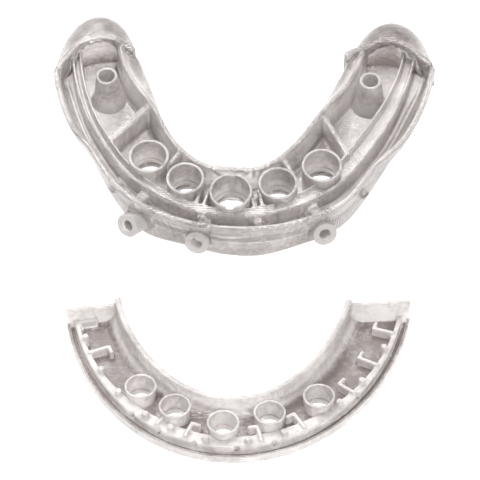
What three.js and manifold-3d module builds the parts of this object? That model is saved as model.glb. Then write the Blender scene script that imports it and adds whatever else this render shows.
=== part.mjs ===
// A clear printed impression tray for a toothless lower jaw, laid out on the bench in its two printed
// parts. The tray is the wavy upper part: an arch-shaped saddle with a channel along its top, guide
// sleeves, posterior posts, pin bushes and padded ends. The insert is the flat half-ring in front of
// it, with cups that come over the guide sleeves when it is dropped into the channel. Millimetres, +Z
// up, +Y towards the back of the mouth. The origin is under the middle of the pair, on the bench.
import * as THREE from 'three';
import { mergeVertices } from 'three/addons/utils/BufferGeometryUtils.js';
import Module from 'manifold-3d';

const wasm = await Module();
wasm.setup();

// ---- Driving dimensions -------------------------------------------------------------------------

const GAP = 0.3; // between neighbouring solids

// The jaw's arch: half an ellipse. The tray's rail and the insert's rim both follow it.
const ARCH_HALF_WIDTH = 28;
const ARCH_DEPTH = 38;
const INSERT_HALF_WIDTH = 28.4; // the insert's edge springs open a little wider than the rail

// How the two parts lie on the bench.
const TRAY_PITCH = 12; // degrees; it rests on its front skirt and the tips of its tongue-side flanges
const TRAY_PLACE = [-1.9, -2.0];
const INSERT_PLACE = [0.1, -48.2];

// Tray heights, above the underside of the channel floor.
const FLOOR_TOP = 1.2;
const FOOT = FLOOR_TOP + GAP; // where everything that stands on the floor begins
const RAIL_TOP = 6;
const RIDGE_TOP = 6.5; // crest of the tongue-side wall
const GROOVE_BOTTOM = 1.9;
const FLANGE_BULGE_Z = 2.6;

// Tray outline by arch angle in degrees, negative on the patient's right. Offsets are outward from the
// arch. border: offset and height of the outer lip of the lip-side groove. skirt: offset and height of
// the lower edge of the lip-side flange. rail: its two faces. ridge: crest of the tongue-side wall.
// flange: widest offset of the tongue-side flange, and the height of its lower edge.
const TRAY_STATIONS = [
  { at: -80, border: [3.7, 6.6], skirt: [2.2, -1], rail: [-0.5, 1.2], ridge: -7.2, flange: [-10.4, -9.2] },
  { at: -70, border: [4.2, 6.4], skirt: [2.5, -1.4], rail: [-0.5, 1.2], ridge: -8, flange: [-11.4, -9.6] },
  { at: -58, border: [3.9, 5.8], skirt: [2, -1.8], rail: [-0.6, 1.1], ridge: -9.6, flange: [-11.4, -8] },
  { at: -50, border: [2.8, 5.3], skirt: [1.8, -2.2], rail: [-0.8, 0.9], ridge: -9.8, flange: [-10.6, -5] },
  { at: -38, border: [3.2, 5], skirt: [2.5, -3.2], rail: [-0.8, 1], ridge: -9, flange: [-9.4, -3.2] },
  { at: -27, border: [3.2, 5], skirt: [3.2, -3.6], rail: [-0.8, 0.9], ridge: -8.4, flange: [-9, -2.6] },
  { at: -14, border: [2.6, 5], skirt: [2.4, -3], rail: [-0.8, 0.9], ridge: -8, flange: [-8.6, -2.2] },
  { at: 0, border: [2.4, 5], skirt: [2.6, -3.3], rail: [-0.7, 0.8], ridge: -7.9, flange: [-8.5, -2] },
  { at: 9, border: [2.7, 5], skirt: [3, -3.3], rail: [-0.8, 1], ridge: -8, flange: [-8.6, -2] },
  { at: 20, border: [3.3, 5], skirt: [3.1, -3], rail: [-0.9, 1.3], ridge: -8.2, flange: [-8.8, -2.2] },
  { at: 34, border: [4, 5], skirt: [3.6, -3.3], rail: [-1.4, 1.5], ridge: -9, flange: [-9.5, -3.2] },
  { at: 48, border: [3.1, 5.3], skirt: [2.6, -2.8], rail: [-2.1, 1.1], ridge: -9.8, flange: [-10.4, -5.5] },
  { at: 58, border: [4.5, 5.8], skirt: [2.4, -2.2], rail: [-2, 1.1], ridge: -9.6, flange: [-11, -8] },
  { at: 70, border: [5.1, 6.4], skirt: [2.8, -1.6], rail: [-1.2, 1.4], ridge: -8.1, flange: [-10.8, -9.6] },
  { at: 82, border: [4.8, 6.8], skirt: [3.2, -1.2], rail: [-0.5, 1.8], ridge: -7.2, flange: [-9.8, -9.6] },
];
const TRAY_REACH = [-87, 90]; // the swept walls run to these angles, and the cross walls cut them off
const TRAY_STEPS = 48;
const SLOT_DEPTH = 1.3; // of the slot that splits the rail into two ribs along the limbs

// Cross walls that close the channel at the back: plan of the front face from the lip side to the
// tongue side.
const DAM_PLANS = {
  left: [[31.9, 30.7], [29.3, 33.0], [24.5, 34.6], [20.2, 33.4], [18.0, 32.0]],
  right: [[-30.3, 27.2], [-29.0, 29.8], [-26.4, 32.0], [-21.6, 33.0], [-18.4, 31.4]],
};
const DAM_THICKNESS = 1.0;
const DAM_FOOT = 0.2;
const DAM_TOP = 6.6;

// Rounded covers over the pads behind the last molars: half-axes of the outer shell, and its middle in
// plan.
const PAD_COVERS = {
  left: { half: [8.0, 13.4, 7.5], at: [25.6, 29.4] },
  right: { half: [7.5, 12.5, 7.5], at: [-24.6, 29.2] },
};
const PAD_COVER_WALL = 1.2;
const PAD_COVER_BASE = 0.5;

// Thin walls standing in the channel, from the tongue-side wall towards the rail: [arch angle, offset]
// of both ends, and thickness.
const CHANNEL_WEBS = {
  left: { from: [55, -10.5], to: [45.5, -1.5], width: 0.9 },
  right: { from: [-56, -10.5], to: [-49, -0.5], width: 1.4 },
};
const TONGUE_WEBS = {
  left: { from: [27.5, -9.5], to: [26.5, -4.6], width: 0.8 },
  right: { from: [-30, -9.5], to: [-29, -4.6], width: 0.8 },
};
const SLOT_POSTS = {
  left: { from: [9.6, -4.0], to: [9.8, 0], width: 1.9 },
  right: { from: [-10.6, -4.0], to: [-10.6, 0], width: 1.9 },
};
const WEB_TOP = 6.1;
const POST_SLOT = { width: 0.5, depth: 2.6 };

// Guide sleeves: centre in plan and outer radius.
const SLEEVES = [
  { at: [-13.9, 9.7], radius: 3.3 },
  { at: [-7.6, 5.6], radius: 3.1 },
  { at: [0, 3.4], radius: 3.5 },
  { at: [7.6, 5.3], radius: 3.2 },
  { at: [14.6, 9.2], radius: 3.3 },
];
const SLEEVE_WALL = 0.55;
const SLEEVE_STEP = 0.3; // the bore narrows by this at the foot
const SLEEVE_TOP = 7;

// Posterior posts: truncated cones with a pilot hole.
const POSTS = { left: [22.1, 26.1], right: [-22.1, 25.0] };
const POST_BASE_RADIUS = 2.6;
const POST_TOP_RADIUS = 1.55;
const POST_TOP = 8;
const POST_HOLE_RADIUS = 0.95;
const POST_HOLE_DEPTH = 4.5;

// Pin bushes through the lip-side skirt: middle of each front face, and the arch angle that it points
// away from. They slope down and inward under the groove.
const PIN_BUSHES = {
  right: { face: [-16.9, -0.6, 1.4], at: -26, length: 5.6 },
  centre: { face: [-5.3, -3.4, 1.4], at: -8, length: 2.3 },
  left: { face: [15.6, -0.7, 1.4], at: 14, length: 5.0 },
};
const BUSH_RISE = 26; // degrees of the axis above the tray's own plane
const BUSH_RADIUS = 2.0;
const BUSH_BORE_RADIUS = 0.95;
const GROOVE_RIBS = [-29, -8, 26.5]; // arch angles of the ribs that cross the groove behind the bushes
const GROOVE_RIB_WIDTH = 1.7;
const GROOVE_RIB_TOP = 4.6;

// Insert: heights above the bench, and offsets from its outer edge. Each end of the insert is closed by
// a low cross wall: the arch angle the sweep runs to, and the plan of the wall's back face from the
// outer edge to the inner wall.
const INSERT_ENDS = {
  left: { reach: 86, outer: [28.2, 31.3], inner: [17.2, 30.0], top: 5.1 },
  right: { reach: -79, outer: [-27.4, 26.9], inner: [-18.2, 28.6], top: 4.6 },
};
const RIM_WIDTH = 0.5;
const RIM_HEIGHT = 1.6;
const LEDGE_START = 1.2; // outer face of the ledge; the groove lies between it and the rim
const LEDGE_WIDTH_FRONT = 2.3;
const LEDGE_WIDTH_LIMB = 0.8;
const LEDGE_TOP = 2.4;
const INSERT_FLOOR = 1.2;
const INNER_WALL_TOP = { front: 4.5, limb: 5.9 };
const INNER_WALL_WIDTH = 1.0;
const CHANNEL_WIDTH_FRONT = 9.9;
const CHANNEL_WIDTH_LIMB = { left: 10.2, right: 8.9 };
const END_WALL_WIDTH = 0.9;
const INSERT_STEPS = 44;

const CUPS = [[-13.8, 11.6], [-8.2, 7.9], [-0.6, 5.0], [6.4, 7.4], [13.8, 11.2]];
const CUP_TOP_RADIUS = 2.5;
const CUP_BASE_RADIUS = 2.25;
const CUP_WALL = 0.45;
const CUP_TOP = 3.9;

// Small features along the ledge: arch angle, and for the hooks which way the free end turns.
const KNOB_ANGLES = [-64, -51.5, -41.5, -29.5, -19.5, -7, 7.5, 20, 41, 51.5, 65];
const KNOB_RADIUS = 0.65;
const KNOB_OFFSET = -2.2;
const KNOB_TOP = 3.7;
const HOOKS = [
  { at: -70, reach: 2.6, turn: 0 },
  { at: -59, reach: 3.0, turn: 1 },
  { at: -24.5, reach: 2.6, turn: 1 },
  { at: -14, reach: 2.4, turn: 1 },
  { at: 12, reach: 2.6, turn: -1 },
  { at: 27, reach: 2.8, turn: -1 },
  { at: 47, reach: 2.6, turn: 1 },
  { at: 59, reach: 2.8, turn: 1 },
  { at: 71, reach: 2.8, turn: 1 },
];
const HOOK_WIDTH = 0.75;
const HOOK_TOP = 3.5;

// ---- Geometry helpers ---------------------------------------------------------------------------

const toRadians = THREE.MathUtils.degToRad;

// Point of the arch at an angle, moved outward by an offset, in a plane whose origin is the arch's front.
function archPoint(angle, offset = 0, halfWidth = ARCH_HALF_WIDTH) {
  const t = toRadians(angle);
  const out = new THREE.Vector2(ARCH_DEPTH * Math.sin(t), -halfWidth * Math.cos(t)).normalize();
  const onArch = new THREE.Vector2(halfWidth * Math.sin(t), ARCH_DEPTH * (1 - Math.cos(t)));
  return onArch.addScaledVector(out, offset);
}

const insertPoint = (angle, offset) => archPoint(angle, offset, INSERT_HALF_WIDTH);

function steps(from, to, count) {
  return Array.from({ length: count + 1 }, (_, i) => THREE.MathUtils.lerp(from, to, i / count));
}

// Smooth value at x through the points of a table, each {at, ...}; read picks the wanted number.
function smoothTable(table, read) {
  return (x) => {
    const last = table.length - 1;
    let i = table.findIndex((row) => row.at > x);
    i = i < 0 ? last : Math.max(i, 1);
    const rows = [i - 2, i - 1, i, i + 1].map((k) => table[THREE.MathUtils.clamp(k, 0, last)]);
    const f = THREE.MathUtils.clamp((x - rows[1].at) / (rows[2].at - rows[1].at), 0, 1);
    const [a, b, c, d] = rows.map(read);
    return b + 0.5 * f * (c - a + f * (2 * a - 5 * b + 4 * c - d + f * (3 * (b - c) + d - a)));
  };
}

function geometryFrom(points, faces) {
  const geometry = new THREE.BufferGeometry();
  geometry.setAttribute('position', new THREE.Float32BufferAttribute(points.flat(), 3));
  geometry.setIndex(faces.flat());
  return geometry;
}

// Closed solid swept along the arch. section(angle) gives [offset, height] points, anticlockwise with the
// offset to the right, the same number at every angle.
function sweep(angles, section, place = archPoint) {
  const points = [];
  const faces = [];
  const rings = angles.map(section);
  const n = rings[0].length;
  rings.forEach((ring, i) => {
    for (const [offset, z] of ring) {
      const p = place(angles[i], offset);
      points.push([p.x, p.y, z]);
    }
  });
  for (let i = 0; i + 1 < rings.length; i++) {
    for (let j = 0; j < n; j++) {
      const a = i * n + j;
      const b = i * n + ((j + 1) % n);
      faces.push([a, a + n, b], [b, a + n, b + n]);
    }
  }
  const endStart = (rings.length - 1) * n;
  const capOf = (ring) => (
    THREE.ShapeUtils.triangulateShape(ring.map(([u, z]) => new THREE.Vector2(u, z)), [])
  );
  for (const [a, b, c] of capOf(rings[0])) faces.push([a, b, c]);
  for (const cap of capOf(rings[rings.length - 1])) {
    const [a, b, c] = cap.map((k) => endStart + k);
    faces.push([a, c, b]);
  }
  return geometryFrom(points, faces);
}

function solid(geometry) {
  const bare = geometry.clone();
  bare.deleteAttribute('normal');
  bare.deleteAttribute('uv');
  const merged = mergeVertices(bare, 1e-4);
  return new wasm.Manifold(new wasm.Mesh({
    numProp: 3,
    vertProperties: new Float32Array(merged.attributes.position.array),
    triVerts: new Uint32Array(merged.index.array),
  }));
}

function geometryOf(manifold) {
  const mesh = manifold.getMesh();
  const geometry = new THREE.BufferGeometry();
  geometry.setAttribute('position', new THREE.BufferAttribute(mesh.vertProperties, 3));
  geometry.setIndex(new THREE.BufferAttribute(mesh.triVerts, 1));
  return geometry;
}

function upright(geometry) {
  return geometry.rotateX(Math.PI / 2);
}

// Turned surface about +Z through [radius, height] points.
function latheUpright(profile, sides) {
  const line = profile.map(([r, z]) => new THREE.Vector2(r, z));
  return upright(new THREE.LatheGeometry(line, sides)).scale(1, -1, -1).rotateX(Math.PI);
}

// Turned ring: the profile runs from the bottom inside round to the top inside.
function turned(profile, sides) {
  return latheUpright([...profile, profile[0]], sides);
}

function rod(radius, length, sides = 28) {
  return upright(new THREE.CylinderGeometry(radius, radius, length, sides));
}

function boxAt(size, centre, yaw = 0) {
  return new THREE.BoxGeometry(...size).rotateZ(yaw).translate(...centre);
}

const resin = { roughness: 0.35, metalness: 0, transparent: true, opacity: 0.85 };

function node(name, geometry, color) {
  const mesh = new THREE.Mesh(geometry, new THREE.MeshStandardMaterial({ ...resin, color }));
  mesh.name = name;
  mesh.geometry.computeVertexNormals();
  return mesh;
}

// ---- Tray ---------------------------------------------------------------------------------------

const TRAY_COLOR = 0xcdc3c0;
const SLEEVE_COLOR = 0xd8cfcc;
const trayRow = (key, k) => smoothTable(TRAY_STATIONS, (row) => row[key][k]);
const border = trayRow('border', 0);
const borderZ = trayRow('border', 1);
const skirt = trayRow('skirt', 0);
const skirtZ = trayRow('skirt', 1);
const railInside = trayRow('rail', 0);
const railOutside = trayRow('rail', 1);
const ridge = smoothTable(TRAY_STATIONS, (row) => row.ridge);
const flange = trayRow('flange', 0);
const flangeZ = trayRow('flange', 1);
const trayAngles = steps(...TRAY_REACH, TRAY_STEPS);

// Solids that the shell has to leave room for, each a little larger than what stands there.
const standing = (radius, [x, y]) => solid(rod(radius, 40).translate(x, y, 0));
const sleeveRoom = SLEEVES.map(({ at, radius }) => standing(radius + GAP, at));
const floorHoles = SLEEVES.map(({ at, radius }) => standing(radius - SLEEVE_WALL - SLEEVE_STEP, at));

// Moves a geometry that runs along +Z so that it starts at a bush's face and runs inward along its axis.
function alongBush(geometry, { face, at }) {
  const inward = archPoint(at, -1).sub(archPoint(at)).multiplyScalar(Math.cos(toRadians(BUSH_RISE)));
  const axis = new THREE.Vector3(inward.x, inward.y, -Math.sin(toRadians(BUSH_RISE)));
  const turn = new THREE.Quaternion().setFromUnitVectors(new THREE.Vector3(0, 0, 1), axis);
  return geometry.applyQuaternion(turn).translate(...face);
}

const bushRoom = Object.values(PIN_BUSHES).map((bush) => (
  solid(alongBush(rod(BUSH_RADIUS + GAP, bush.length + 1.4).translate(0, 0, bush.length / 2), bush))
));

// Prism over a plan outline between two heights.
function prism(outline, low, high) {
  const shape = new THREE.Shape(outline.map(([x, y]) => new THREE.Vector2(x, y)));
  const block = new THREE.ExtrudeGeometry(shape, { depth: high - low, bevelEnabled: false });
  return block.translate(0, 0, low);
}

// A cross wall's plan as a smooth line, moved back from the front face by a distance.
function damLine(side, back) {
  const curve = new THREE.SplineCurve(DAM_PLANS[side].map(([x, y]) => new THREE.Vector2(x, y)));
  return steps(0, 1, 14).map((f) => {
    const tangent = curve.getTangent(f);
    const normal = new THREE.Vector2(tangent.y, -tangent.x);
    if (normal.y < 0) normal.negate();
    const p = curve.getPoint(f).addScaledVector(normal, back);
    return [p.x, p.y];
  });
}

function damRegion(side, back, farY) {
  const line = damLine(side, back);
  const [first, last] = [line[0], line[line.length - 1]];
  const out = side === 'left' ? 12 : -12;
  return solid(prism([...line, [last[0] - out, last[1]], [last[0] - out, farY], [first[0] + out, farY],
    [first[0] + out, first[1]]], -16, 14));
}

const behindDams = ['left', 'right'].map((side) => damRegion(side, -GAP, 60));

function cut(geometry, tools) {
  return geometryOf(tools.reduce((body, tool) => body.subtract(tool), solid(geometry)));
}

// Tongue-side wall, and the flange that slopes from its crest down beside the tongue.
function tongueFlangeSection(t) {
  const crest = ridge(t);
  const bulge = Math.min(flange(t), crest - 0.7);
  const low = flangeZ(t);
  return [
    [crest + 0.1, -0.2],
    [crest + 0.1, FOOT],
    [crest + 0.9, FOOT],
    [crest + 0.45, RIDGE_TOP - 0.3],
    [crest, RIDGE_TOP],
    [crest - 0.4, RIDGE_TOP - 0.3],
    [THREE.MathUtils.lerp(crest, bulge, 0.8), 4.6],
    [bulge, FLANGE_BULGE_Z],
    [bulge + 0.2, low / 2],
    [bulge + 0.6, low],
    [bulge + 1.6, low],
    [bulge + 1.3, low / 2],
  ];
}

function channelFloorSection(t) {
  const inner = ridge(t) + 0.1 + GAP;
  const outer = railInside(t) + 0.6;
  return [[inner, 0], [outer, 0], [outer, FLOOR_TOP], [inner, FLOOR_TOP]];
}

// The rail that the insert's outer edge sits against; a slot splits it into two thin ribs along the
// limbs.
function railSection(t) {
  const inside = railInside(t);
  const outside = railOutside(t);
  const slot = Math.max(0.1, SLOT_DEPTH * THREE.MathUtils.smoothstep(Math.abs(t), 24, 40));
  return [
    [inside, FOOT],
    [outside, FOOT],
    [outside, RAIL_TOP],
    [outside - 0.55, RAIL_TOP],
    [outside - 0.6, RAIL_TOP - slot],
    [inside + 0.6, RAIL_TOP - slot],
    [inside + 0.55, RAIL_TOP],
    [inside, RAIL_TOP],
  ];
}

// Lip-side groove, its rolled border and the skirt below it.
function lipFlangeSection(t) {
  const inner = railOutside(t) + GAP;
  const edge = border(t);
  const top = borderZ(t);
  const hem = skirt(t);
  const hemZ = skirtZ(t);
  const across = (f) => THREE.MathUtils.lerp(inner, edge - 0.5, f);
  return [
    [inner, 0.7],
    [hem - 1.2, 0.2],
    [hem - 1.0, hemZ],
    [hem, hemZ],
    [hem + 0.3, hemZ + 0.8],
    [(hem + edge) / 2 + 0.35, 1.6],
    [edge + 0.45, top - 0.7],
    [edge + 0.1, top],
    [edge - 0.45, top - 0.2],
    [across(0.9), THREE.MathUtils.lerp(GROOVE_BOTTOM, top, 0.5)],
    [across(0.6), GROOVE_BOTTOM + 0.2],
    [inner, GROOVE_BOTTOM],
  ];
}

// Everything the tongue-side wall and the rail take up, with a gap, as seen by a thin wall between them.
const wallRoom = solid(sweep(trayAngles, (t) => {
  const face = ridge(t) + 0.9 + GAP;
  return [[face - 6, -2], [face, -2], [face, 12], [face - 6, 12]];
}));
const railRoom = solid(sweep(trayAngles, (t) => {
  const face = railInside(t) - GAP;
  return [[face, -2], [face + 5, -2], [face + 5, 12], [face, 12]];
}));

function thinWall({ from, to, width }, top = WEB_TOP) {
  const a = archPoint(...from);
  const b = archPoint(...to);
  const yaw = Math.atan2(b.y - a.y, b.x - a.x);
  const middle = [(a.x + b.x) / 2, (a.y + b.y) / 2, (FOOT + top) / 2];
  return { geometry: boxAt([a.distanceTo(b), width, top - FOOT], middle, yaw), middle, yaw };
}

function channelWall(web) {
  return cut(thinWall(web).geometry, [wallRoom, railRoom, ...sleeveRoom]);
}

function slotPost(post) {
  const { geometry, middle, yaw } = thinWall(post);
  const slotMiddle = [middle[0], middle[1], WEB_TOP - POST_SLOT.depth / 2 + 0.01];
  const slot = boxAt([8, POST_SLOT.width, POST_SLOT.depth], slotMiddle, yaw);
  return cut(geometry, [railRoom, ...sleeveRoom, solid(slot)]);
}

function endDam(side) {
  return prism([...damLine(side, 0), ...damLine(side, DAM_THICKNESS).reverse()], DAM_FOOT, DAM_TOP);
}

function padCover(side) {
  const { half, at } = PAD_COVERS[side];
  const shell = (inset) => (
    new THREE.SphereGeometry(1, 36, 24)
      .scale(...half.map((r) => r - inset))
      .translate(...at, PAD_COVER_BASE)
  );
  const below = solid(boxAt([30, 40, 12], [...at, PAD_COVER_BASE - 6]));
  const ahead = damRegion(side, DAM_THICKNESS + GAP, 0);
  return cut(shell(0), [solid(shell(PAD_COVER_WALL)), ahead, below]);
}

// Rib across the groove behind a bush.
function grooveRib(t) {
  const height = GROOVE_RIB_TOP - GROOVE_BOTTOM + 0.4;
  const reach = border(t) - railOutside(t) - GAP;
  const p = archPoint(t, railOutside(t) + GAP + reach / 2);
  const out = archPoint(t, 1).sub(archPoint(t));
  const centre = [p.x, p.y, GROOVE_RIB_TOP - height / 2];
  return boxAt([reach, GROOVE_RIB_WIDTH, height], centre, Math.atan2(out.y, out.x));
}

function guideSleeve(index) {
  const { at, radius } = SLEEVES[index];
  const bore = radius - SLEEVE_WALL;
  const profile = [
    [bore - SLEEVE_STEP, FOOT],
    [radius, FOOT],
    [radius, SLEEVE_TOP],
    [bore, SLEEVE_TOP],
    [bore, FOOT + 0.8],
    [bore - SLEEVE_STEP, FOOT + 0.8],
  ];
  return turned(profile, 32).translate(at[0], at[1], 0);
}

function posteriorPost([x, y]) {
  const profile = [
    [0, FOOT],
    [POST_BASE_RADIUS, FOOT],
    [POST_TOP_RADIUS, POST_TOP],
    [POST_HOLE_RADIUS, POST_TOP],
    [POST_HOLE_RADIUS, POST_TOP - POST_HOLE_DEPTH],
    [0, POST_TOP - POST_HOLE_DEPTH],
  ];
  return latheUpright(profile, 24).translate(x, y, 0);
}

function pinBush(bush) {
  const profile = [
    [BUSH_BORE_RADIUS, 0],
    [BUSH_RADIUS, 0],
    [BUSH_RADIUS, bush.length],
    [BUSH_BORE_RADIUS, bush.length],
  ];
  return alongBush(turned(profile, 24), bush);
}

function lipFlange() {
  const ribs = GROOVE_RIBS.map((t) => solid(grooveRib(t)));
  const ribbed = ribs.reduce((sum, rib) => sum.add(rib), solid(sweep(trayAngles, lipFlangeSection)));
  return geometryOf([...bushRoom, ...behindDams].reduce((body, tool) => body.subtract(tool), ribbed));
}

function buildTray() {
  const tray = new THREE.Group();
  const shell = {
    tongue_flange: cut(sweep(trayAngles, tongueFlangeSection), [...sleeveRoom, ...behindDams]),
    channel_floor: cut(sweep(trayAngles, channelFloorSection), [...floorHoles, ...behindDams]),
    insert_rail: cut(sweep(trayAngles, railSection), [...sleeveRoom, ...behindDams]),
    lip_flange: lipFlange(),
  };
  for (const [name, geometry] of Object.entries(shell)) tray.add(node(name, geometry, TRAY_COLOR));
  SLEEVES.forEach((_, i) => tray.add(node(`guide_sleeve_${i + 1}`, guideSleeve(i), SLEEVE_COLOR)));
  for (const [side, at] of Object.entries(POSTS)) {
    tray.add(node(`posterior_post_${side}`, posteriorPost(at), SLEEVE_COLOR));
  }
  for (const [side, bush] of Object.entries(PIN_BUSHES)) {
    tray.add(node(`pin_bush_${side}`, pinBush(bush), SLEEVE_COLOR));
  }
  for (const side of ['left', 'right']) {
    tray.add(node(`end_dam_${side}`, endDam(side), TRAY_COLOR));
    tray.add(node(`pad_cover_${side}`, padCover(side), TRAY_COLOR));
    tray.add(node(`channel_web_${side}`, channelWall(CHANNEL_WEBS[side]), SLEEVE_COLOR));
    tray.add(node(`tongue_web_${side}`, channelWall(TONGUE_WEBS[side]), SLEEVE_COLOR));
    tray.add(node(`slot_post_${side}`, slotPost(SLOT_POSTS[side]), SLEEVE_COLOR));
  }
  tray.rotation.x = toRadians(TRAY_PITCH);
  tray.position.set(...TRAY_PLACE, -new THREE.Box3().setFromObject(tray, true).min.z);
  return tray;
}

// ---- Insert -------------------------------------------------------------------------------------

const INSERT_COLOR = 0xdad2cf;
const limbShare = (t) => THREE.MathUtils.smoothstep(Math.abs(t), 15, 70);
const ledgeInside = (t) => (
  -LEDGE_START - THREE.MathUtils.lerp(LEDGE_WIDTH_FRONT, LEDGE_WIDTH_LIMB, limbShare(t))
);
const channelInside = (t) => (
  -THREE.MathUtils.lerp(CHANNEL_WIDTH_FRONT, CHANNEL_WIDTH_LIMB[t > 0 ? 'left' : 'right'], limbShare(t))
);

// Ledge, floor and inner wall in one section; the floor rises into the inner wall in a soft curve.
function insertSection(t) {
  const ledge = ledgeInside(t);
  const wall = channelInside(t);
  const face = wall + INNER_WALL_WIDTH;
  const top = THREE.MathUtils.lerp(INNER_WALL_TOP.front, INNER_WALL_TOP.limb, limbShare(t));
  return [
    [wall, 0],
    [-RIM_WIDTH / 2, 0],
    [-RIM_WIDTH / 2, RIM_HEIGHT / 2],
    [-LEDGE_START, RIM_HEIGHT / 2],
    [-LEDGE_START, LEDGE_TOP],
    [ledge, LEDGE_TOP],
    [ledge, INSERT_FLOOR],
    [face + 2.2, INSERT_FLOOR],
    [face + 1.1, INSERT_FLOOR + 0.4],
    [face + 0.4, INSERT_FLOOR + 1.3],
    [face, top],
    [wall, top],
  ];
}

function rimSection() {
  return [[-RIM_WIDTH, 0], [0, 0], [0, RIM_HEIGHT], [-RIM_WIDTH, RIM_HEIGHT]];
}

// Everything behind an end of the insert.
function beyondEnd({ outer, inner }) {
  const slope = (outer[1] - inner[1]) / (outer[0] - inner[0]);
  const far = Math.sign(outer[0]) * 60;
  const line = [0, far].map((x) => [x, inner[1] + slope * (x - inner[0])]);
  return solid(prism([...line, [far, 60], [0, 60]], -1, 12));
}

function endWall({ outer, inner, top }) {
  const side = Math.sign(outer[0]);
  const back = [[outer[0] - side * RIM_WIDTH, outer[1]], inner];
  const front = back.map(([x, y]) => [x, y - END_WALL_WIDTH]).reverse();
  return prism([...back, ...front], 0.2, top);
}

function knob(angle) {
  const p = insertPoint(angle, KNOB_OFFSET);
  const height = KNOB_TOP - 0.4;
  return rod(KNOB_RADIUS, height, 14).translate(p.x, p.y, KNOB_TOP - height / 2);
}

// A hook is a bar reaching from the ledge over the floor, with a short free end turned to one side.
function hookParts({ at, reach, turn }) {
  const root = insertPoint(at, KNOB_OFFSET + 0.5);
  const tip = insertPoint(at, KNOB_OFFSET - reach);
  const yaw = Math.atan2(tip.y - root.y, tip.x - root.x);
  const middle = root.clone().add(tip).multiplyScalar(0.5);
  const height = HOOK_TOP - 0.4;
  const z = HOOK_TOP - height / 2;
  const bar = boxAt([root.distanceTo(tip), HOOK_WIDTH, height], [middle.x, middle.y, z], yaw);
  if (turn === 0) return [bar];
  const side = new THREE.Vector2(-Math.sin(yaw), Math.cos(yaw)).multiplyScalar(-turn * HOOK_WIDTH);
  const end = tip.clone().add(side);
  return [bar, boxAt([HOOK_WIDTH, 3 * HOOK_WIDTH, height], [end.x, end.y, z], yaw)];
}

function insertCup([x, y]) {
  const profile = [
    [CUP_BASE_RADIUS - CUP_WALL, INSERT_FLOOR + GAP],
    [CUP_BASE_RADIUS, INSERT_FLOOR + GAP],
    [CUP_TOP_RADIUS, CUP_TOP],
    [CUP_TOP_RADIUS - CUP_WALL, CUP_TOP],
  ];
  return turned(profile, 32).translate(x, y, 0);
}

function insertPlate() {
  const ends = Object.values(INSERT_ENDS);
  const angles = steps(INSERT_ENDS.right.reach, INSERT_ENDS.left.reach, INSERT_STEPS);
  const swept = solid(sweep(angles, insertSection, insertPoint))
    .add(solid(sweep(angles, rimSection, insertPoint)));
  const open = ends.map(beyondEnd).reduce((left, tool) => left.subtract(tool), swept);
  const additions = [...ends.map(endWall), ...KNOB_ANGLES.map(knob), ...HOOKS.flatMap(hookParts)];
  const whole = additions.reduce((sum, part) => sum.add(solid(part)), open);
  const rooms = CUPS.flatMap(([x, y]) => [
    standing(CUP_BASE_RADIUS - CUP_WALL, [x, y]),
    solid(rod(CUP_TOP_RADIUS + GAP, 8, 32).translate(x, y, INSERT_FLOOR + 4)),
  ]);
  return geometryOf(rooms.reduce((left, tool) => left.subtract(tool), whole));
}

function buildInsert() {
  const insert = new THREE.Group();
  insert.add(node('insert_plate', insertPlate(), INSERT_COLOR));
  CUPS.forEach((at, i) => insert.add(node(`insert_cup_${i + 1}`, insertCup(at), INSERT_COLOR)));
  insert.position.set(...INSERT_PLACE, 0);
  return insert;
}

const impressionTray = new THREE.Group();
impressionTray.add(buildTray(), buildInsert());

const middle = new THREE.Box3().setFromObject(impressionTray, true).getCenter(new THREE.Vector3());
for (const printedPart of impressionTray.children) {
  printedPart.position.x -= middle.x;
  printedPart.position.y -= middle.y;
}

export default impressionTray;
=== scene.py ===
import math

import bmesh
import bpy
from mathutils import Matrix, Vector


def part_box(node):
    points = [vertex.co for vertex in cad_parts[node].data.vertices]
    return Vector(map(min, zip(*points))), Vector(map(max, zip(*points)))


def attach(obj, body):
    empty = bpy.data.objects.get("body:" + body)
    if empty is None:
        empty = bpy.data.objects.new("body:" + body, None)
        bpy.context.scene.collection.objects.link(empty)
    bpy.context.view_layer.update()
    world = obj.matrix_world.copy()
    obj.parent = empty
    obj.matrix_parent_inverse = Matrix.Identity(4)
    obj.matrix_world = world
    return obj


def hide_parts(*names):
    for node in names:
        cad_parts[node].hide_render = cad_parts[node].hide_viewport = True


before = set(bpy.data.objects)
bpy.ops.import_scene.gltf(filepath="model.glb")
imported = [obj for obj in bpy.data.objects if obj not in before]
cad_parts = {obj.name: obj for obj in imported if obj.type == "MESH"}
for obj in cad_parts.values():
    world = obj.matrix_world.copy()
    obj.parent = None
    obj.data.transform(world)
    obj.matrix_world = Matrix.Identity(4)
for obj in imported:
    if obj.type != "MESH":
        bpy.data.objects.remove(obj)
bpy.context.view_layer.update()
MM = 0.001

# ---- Camera and bench ------------------------------------------------------------------------------
# A long lens looks half-way down onto a plain pale bench, a little from the patient's left, with the
# tray behind and the insert in front of it.
AIM = Vector((0.8, 4.2, 0)) * MM
CAMERA_DISTANCE = 0.4
CAMERA_HEIGHT_ANGLE = math.radians(45)
CAMERA_SIDE_ANGLE = math.radians(3.3)
LENS = 180.5

camera = bpy.data.objects.new("camera", bpy.data.cameras.new("camera"))
bpy.context.scene.collection.objects.link(camera)
bpy.context.scene.camera = camera
camera.data.lens = LENS
camera.data.clip_start = 0.01
towards_camera = Vector((
    math.cos(CAMERA_HEIGHT_ANGLE) * math.sin(CAMERA_SIDE_ANGLE),
    -math.cos(CAMERA_HEIGHT_ANGLE) * math.cos(CAMERA_SIDE_ANGLE),
    math.sin(CAMERA_HEIGHT_ANGLE),
))
camera.location = AIM + towards_camera * CAMERA_DISTANCE
camera.rotation_euler = towards_camera.to_track_quat("Z", "Y").to_euler()


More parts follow.
